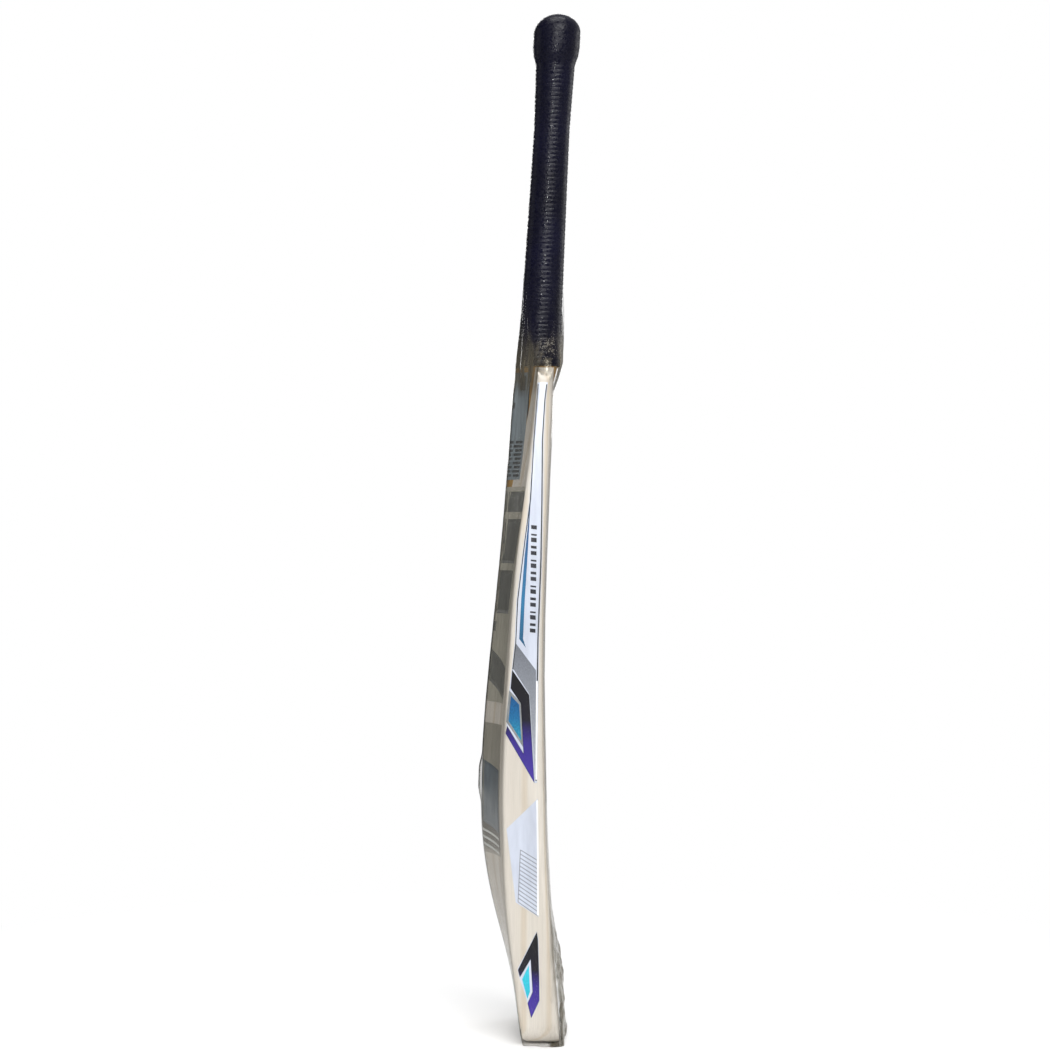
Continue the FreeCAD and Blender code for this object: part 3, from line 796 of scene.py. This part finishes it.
def back_print(name, quads, layer, material, surface):
    """Printed four-cornered shapes, given as X and height, laid on the back."""
    points = []
    faces = []
    for quad in quads:
        corners = [Vector((x, z)) for x, z in quad]
        across = max(2, math.ceil((corners[1] - corners[0]).length / 2.5))
        along = max(2, math.ceil((corners[3] - corners[0]).length / 4))
        start = len(points)
        for lift in (0.02, 0.06):
            for row in range(along + 1):
                left = corners[0].lerp(corners[3], row / along)
                right = corners[1].lerp(corners[2], row / along)
                for column in range(across + 1):
                    spot = left.lerp(right, column / across) * MM
                    hit = surface.ray_cast(Vector((spot.x, REACH, spot.y)), Vector((0, -1, 0)))[0]
                    rise = (lift + 0.06 * layer) * MM
                    points.append((hit.x, hit.y + rise, hit.z))
        wide = across + 1
        sheet = wide * (along + 1)
        for row in range(along):
            for column in range(across):
                low = start + row * wide + column
                inner = (low, low + 1, low + wide + 1, low + wide)
                faces.append(inner)
                faces.append(tuple(index + sheet for index in reversed(inner)))
        rim = list(range(wide))
        rim += [row * wide + across for row in range(1, along + 1)]
        rim += [along * wide + column for column in range(across - 1, -1, -1)]
        rim += [row * wide for row in range(along - 1, 0, -1)]
        for i, index in enumerate(rim):
            after = rim[(i + 1) % len(rim)]
            faces.append(
                (start + index, start + index + sheet, start + after + sheet, start + after)
            )
    piece = new_piece(name, points, faces, material)
    fix_normals(piece)


def block(left, right, low, high, slant=0.0):
    """Four-cornered shape, its right side higher than its left by slant."""
    return ((left, low), (right, low + slant), (right, high + slant), (left, high))


def build_back_prints():
    """Generic blocks, bands and dashes on the label and the back stickers."""
    surface = surface_of("blade", "back_label", "back_upper_sticker", "back_lower_sticker")
    ink = printed("label_ink", (52, 56, 60), (78, 82, 86))
    marks = []
    for low, high, columns in ((541, 553, (-2, 2)), (526, 531, (-1, 0, 1)), (508, 513, (0, 1))):
        for column in columns:
            left = column * 6.0 - 1.6
            marks.append(block(left, left + 3.2, low, high))
    for row in range(9):
        low = 468.5 + row * 3.5
        for column in range(-2, 3):
            left = column * 6.0 - 2.6
            marks.append(block(left, left + 4.4 + (row + column) % 2 * 0.8, low, low + 2.2))
    back_print("label_marks", marks, 0, ink, surface)
    slate = printed("slate_print", (86, 88, 86), (106, 107, 103))
    blocks = [
        block(-30, -4, 439, 456), block(4, 30, 439, 456),
        block(-30, -5, 396, 433), block(5, 30, 396, 433),
        block(-30, -5, 354, 390), block(5, 30, 354, 390),
        block(-8, 8, 339, 347),
    ]
    back_print("slate_blocks", blocks, 0, slate, surface)
    bands = [
        ((-36, 283), (0, 300), (0, 326), (-36, 309)), ((0, 300), (36, 283), (36, 309), (0, 326)),
    ]
    back_print("slate_bands", bands, 0, slate, surface)
    steel = printed("steel_print", (82, 93, 102), (104, 114, 122), metallic=0.2)
    panel = [
        ((-34, 172), (0, 180), (0, 232), (-34, 224)), ((0, 180), (34, 172), (34, 224), (0, 232)),
    ]
    back_print("steel_panel", panel, 0, steel, surface)
    pale = printed("pale_print", (196, 198, 194), (214, 216, 212))
    chevrons = []
    for low in (155, 161, 167):
        chevrons.append(((-34, low - 1), (0, low + 5), (0, low + 7), (-34, low + 1)))
        chevrons.append(((0, low + 5), (34, low - 1), (34, low + 1), (0, low + 7)))
    back_print("pale_chevrons", chevrons, 1, pale, surface)


# ------------------------------------------------------------ packing sleeve


def crease(turn, height, turns, stretch, seed):
    """Noise from -1 to 1 that runs lengthwise round the sleeve."""
    angle = math.tau * turn
    place = (math.cos(angle) * turns, math.sin(angle) * turns, height / stretch + seed)
    return noise.noise(Vector(place))


def ridge(turn, height, turns, stretch, seed):
    """Sharp lengthwise folds from -1 to 1."""
    return 1 - 2 * abs(crease(turn, height, turns, stretch, seed)) ** 0.8 * 1.6


def sleeve_outline(surface, height, count):
    """Evenly spaced points round the sleeve at a height, from the spine by +X."""
    forward = Vector((0, 1, 0))
    front = surface.ray_cast(Vector((0, -REACH, height)), forward)[0]
    back = surface.ray_cast(Vector((0, REACH, height)), -forward)[0]
    centre = (front + back) / 2
    hits = []
    for step in range(SLEEVE_RAYS + 1):
        angle = math.tau * step / SLEEVE_RAYS
        way = Vector((math.sin(angle), math.cos(angle), 0))
        hit = surface.ray_cast(centre + way * REACH, -way)[0]
        hits.append((hit.x, hit.y))
    hits = np.array(hits)
    lengths = np.linalg.norm(np.diff(hits, axis=0), axis=1)
    along = np.concatenate([[0], np.cumsum(lengths)])
    wanted = np.linspace(0, along[-1], count, endpoint=False)
    return np.stack([np.interp(wanted, along, hits[:, axis]) for axis in (0, 1)], axis=1)


# Points round the film, how many of them lap over, and rings of points up to the knob's dome.
FILM_COUNT = 160
FILM_LAP = 4
FILM_RINGS = 332
CROWN_RINGS = 16
# Gap from the film's solid at each end, and how the ends are folded shut, in steps.
FILM_MARGIN = 0.3 * MM
FOLD_SHARES = (0.1, 0.25, 0.45, 0.65, 0.85, 1.0)
FOLD_DROP = 0.2 * MM
FOLD_HALVES = (46 * MM, 0.5 * MM)
SLEEVE_RAYS = 480


# Heights of the film's top, of the knob's shoulder and of the grip's foot.
CLING_HEIGHTS = (
    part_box("film_sleeve")[1].z,
    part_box("rubber_grip")[1].z - DOME,
    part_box("rubber_grip")[0].z + 0.1 * MM,
)


def cling(outline, grip, height):
    """Outline drawn in close round the grip, and over its dome at the top."""
    share = 1 - window(height, 0, 598 * MM, 46 * MM)
    if share == 0:
        return outline
    top, shoulder, foot = CLING_HEIGHTS
    rise = max(0.0, height - shoulder) / (top - shoulder)
    narrow = math.sqrt(max(0.0, 1 - rise * rise))
    centre = on_axis(height)
    drawn = []
    for x, y in outline:
        angle = math.atan2(x, centre.y - y)
        inside = min(max(height, foot), shoulder)
        radius = (handle_radius(grip, inside, angle) + 0.7 * MM) * narrow
        close = np.array((math.sin(angle) * radius, centre.y - math.cos(angle) * radius))
        drawn.append(np.array((x, y)) * (1 - share) + close * share)
    return np.array(drawn)


def film_lift(turn, spot, height):
    """How far the film stands out from its solid's outer wall, in millimetres."""
    x, y = spot
    flat = window(abs(x), 53, 60, 2.0) * window(height, 0, 548, 8)
    lift = -0.2 + 0.1 * crease(turn, height, 5.0, 70, 1.7)
    neck = window(height, 562, 606, 30)
    lift += neck * (1.3 * ridge(turn, height, 2.4, 150, 7.3) - 0.9)
    lift += neck * 0.5 * crease(turn, height, 7.0, 60, 2.9)
    wrist = window(height, 650, 830, 30)
    lift += wrist * 0.22 * (ridge(turn, height, 1.8, 160, 4.4) - 0.2)
    loose = window(height, -20, 500, 40) * (1 - flat)
    lift += loose * 0.22 * (1 + crease(turn, height, 6.0, 110, 9.1))
    toe = window(height, -20, 62, 50) * window(y, -60, -9, 5)
    crumple = noise.turbulence(Vector((x / 16, y / 16, height / 22)), 3, False)
    lift += toe * (3.4 + 3.2 * crumple)
    hump = window(height, 208, 222, 16) * window(y, 37, 60, 6)
    lift += hump * 2.2
    return lift


def build_film():
    """Clear sleeve wrapped round the bat, lapped along the spine, folded at both ends."""
    surface = surface_of("film_sleeve")
    grip = surface_of("rubber_grip")
    low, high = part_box("film_sleeve")
    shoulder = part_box("rubber_grip")[1].z - DOME
    rise = shoulder - low.z - FILM_MARGIN
    heights = [low.z + FILM_MARGIN + rise * i / (FILM_RINGS - 1) for i in range(FILM_RINGS)]
    crown = high.z - FILM_MARGIN - shoulder
    heights += [
        shoulder + crown * math.sin(math.pi / 2 * i / CROWN_RINGS)
        for i in range(1, CROWN_RINGS + 1)
    ]
    around = FILM_COUNT + FILM_LAP + 1
    points = []
    for height in heights:
        outline = sleeve_outline(surface, height, FILM_COUNT)
        outline = cling(outline, grip, height)
        after = np.roll(outline, -1, axis=0)
        before = np.roll(outline, 1, axis=0)
        tangent = after - before
        tangent /= np.linalg.norm(tangent, axis=1)[:, None]
        away = np.stack([-tangent[:, 1], tangent[:, 0]], axis=1)
        for step in range(around):
            index = step % FILM_COUNT
            spot = outline[index]
            lift = film_lift(index / FILM_COUNT, spot / MM, height / MM)
            lift += 0.2 * max(0.0, (step - FILM_COUNT + 1) / (FILM_LAP + 1))
            moved = spot + away[index] * lift * MM
            points.append((moved[0], moved[1], height))
    grid = np.array(points).reshape(len(heights), around, 3)
    folded = []
    for ring, half, up in zip((grid[0], grid[-1]), FOLD_HALVES, (1, -1)):
        middle = (ring[:, 1].min() + ring[:, 1].max()) / 2
        caps = []
        for share in FOLD_SHARES:
            cap = ring.copy()
            cap[:, 0] = ring[:, 0] * (1 - share) + np.clip(ring[:, 0], -half, half) * share
            cap[:, 1] = ring[:, 1] * (1 - share) + middle * share
            cap[:, 2] = ring[:, 2] - up * FOLD_DROP * math.sin(math.pi / 2 * share)
            caps.append(cap)
        folded.append(caps)
    stack = folded[0][::-1] + list(grid) + folded[1]
    every = np.concatenate(stack)
    film = new_piece(
        "film_wrap", every, ring_faces(len(stack), around, closed=False), clear_film()
    )
    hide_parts("film_sleeve")
    return film


# ------------------------------------------------------------ studio

# Camera: how far off it stands on the near edge's side, its small shifts, and its lens.
CAMERA_X = -1.9
CAMERA_SHIFT = (0.0054, -0.002)
CAMERA_LENS = 77.1
# Lights, each with its name, place, size and power.
LIGHTS = (
    ("key", (-1.7, -0.4, 1.9), 1.5, 40),
    ("glint", (-2.3, 0.1, 1.0), 0.07, 16),
    ("face_fill", (1.5, -2.4, 1.0), 1.5, 8),
    ("far_fill", (2.4, 0.3, 1.3), 1.5, 24),
    ("spine_fill", (0.4, 2.4, 1.2), 1.5, 3),
    ("top", (0.0, 0.0, 2.6), 1.2, 16),
)
# The surroundings are dimmer towards this direction, from the first level to the second.
DIM_WAY = (0.55, 0.83, 0.0)
DIM_LEVELS = (0.42, 0.08)
FLOOR_RADIUS = 1.6
FLOOR_SIDES = 96


def area_light(name, place, target, size, power):
    """Soft square light aimed at a point."""
    lamp = bpy.data.lights.new(name, "AREA")
    lamp.size = size
    lamp.energy = power
    holder = bpy.data.objects.new(name, lamp)
    bpy.context.scene.collection.objects.link(holder)
    holder.location = place
    aim = Vector(target) - Vector(place)
    holder.rotation_euler = aim.to_track_quat("-Z", "Y").to_euler()
    holder.visible_camera = False


def build_studio():
    """Camera, lights, pale surroundings and floor."""
    middle = (cad_bounds[0] + cad_bounds[1]) / 2
    lens = bpy.data.cameras.new("camera")
    lens.sensor_width = 36
    lens.lens = CAMERA_LENS
    camera = bpy.data.objects.new("camera", lens)
    bpy.context.scene.collection.objects.link(camera)
    camera.location = (CAMERA_X, middle.y + CAMERA_SHIFT[0], middle.z + CAMERA_SHIFT[1])
    camera.rotation_euler = (math.pi / 2, 0, -math.pi / 2)
    bpy.context.scene.camera = camera

    for name, place, size, power in LIGHTS:
        area_light(name, place, middle, size, power)

    world = bpy.data.worlds.new("studio")
    bpy.context.scene.world = world
    world.use_nodes = True
    nodes = world.node_tree.nodes
    links = world.node_tree.links
    direction = nodes.new("ShaderNodeTexCoord")
    flag = nodes.new("ShaderNodeVectorMath")
    flag.operation = "DOT_PRODUCT"
    links.new(direction.outputs["Generated"], flag.inputs[0])
    flag.inputs[1].default_value = DIM_WAY
    level = nodes.new("ShaderNodeMapRange")
    links.new(flag.outputs["Value"], level.inputs["Value"])
    level.inputs["From Min"].default_value = 0.1
    level.inputs["From Max"].default_value = 0.8
    level.inputs["To Min"].default_value = DIM_LEVELS[0]
    level.inputs["To Max"].default_value = DIM_LEVELS[1]
    links.new(level.outputs["Result"], nodes["Background"].inputs["Strength"])
    seen = nodes.new("ShaderNodeBackground")
    seen.inputs["Color"].default_value = grey(1.0)
    seen.inputs["Strength"].default_value = 1.0
    nodes["Background"].inputs["Color"].default_value = grey(1.0)
    path = nodes.new("ShaderNodeLightPath")
    mix = nodes.new("ShaderNodeMixShader")
    links.new(path.outputs["Is Camera Ray"], mix.inputs["Fac"])
    links.new(nodes["Background"].outputs[0], mix.inputs[1])
    links.new(seen.outputs[0], mix.inputs[2])
    links.new(mix.outputs[0], nodes["World Output"].inputs["Surface"])
    bpy.context.scene.view_settings.view_transform = "Standard"

    points = [(0, 0, 0)]
    for step in range(FLOOR_SIDES):
        angle = math.tau * step / FLOOR_SIDES
        points.append((FLOOR_RADIUS * math.cos(angle), FLOOR_RADIUS * math.sin(angle), 0))
    faces = [(0, 1 + step, 1 + (step + 1) % FLOOR_SIDES) for step in range(FLOOR_SIDES)]
    mesh = bpy.data.meshes.new("floor")
    mesh.from_pydata(points, [], faces)
    mesh.materials.append(studio_floor())
    floor = bpy.data.objects.new("floor", mesh)
    bpy.context.scene.collection.objects.link(floor)


# ------------------------------------------------------------ all together

build_studio()
dress(willow(), "blade")
slips = [name for name in NODES if name.startswith("cane_slip")]
dress(cane(), *slips)
dress(spring_rubber(), "rubber_spring_front", "rubber_spring_middle", "rubber_spring_back")
field = printed(
    "edge_field", (192, 198, 212), (206, 212, 225), metallic=0.15, scale=(160, 160, 30)
)
dress(field, *[name for name in NODES if name.startswith("edge_sticker")])
dress(printed("label_blue", (112, 123, 129), (132, 142, 148)), "back_label")
dress(printed("back_field", (154, 151, 138), (176, 172, 158)), "back_upper_sticker")
lower = faded(
    "lower_field",
    153,
    262,
    ((0.0, (166, 160, 146)), (0.06, (98, 92, 80)), (0.2, (76, 72, 63)), (0.75, (152, 148, 136))),
)
dress(lower, "back_lower_sticker")
build_grip()
build_twine()
build_edge_prints()
build_back_prints()
film = build_film()
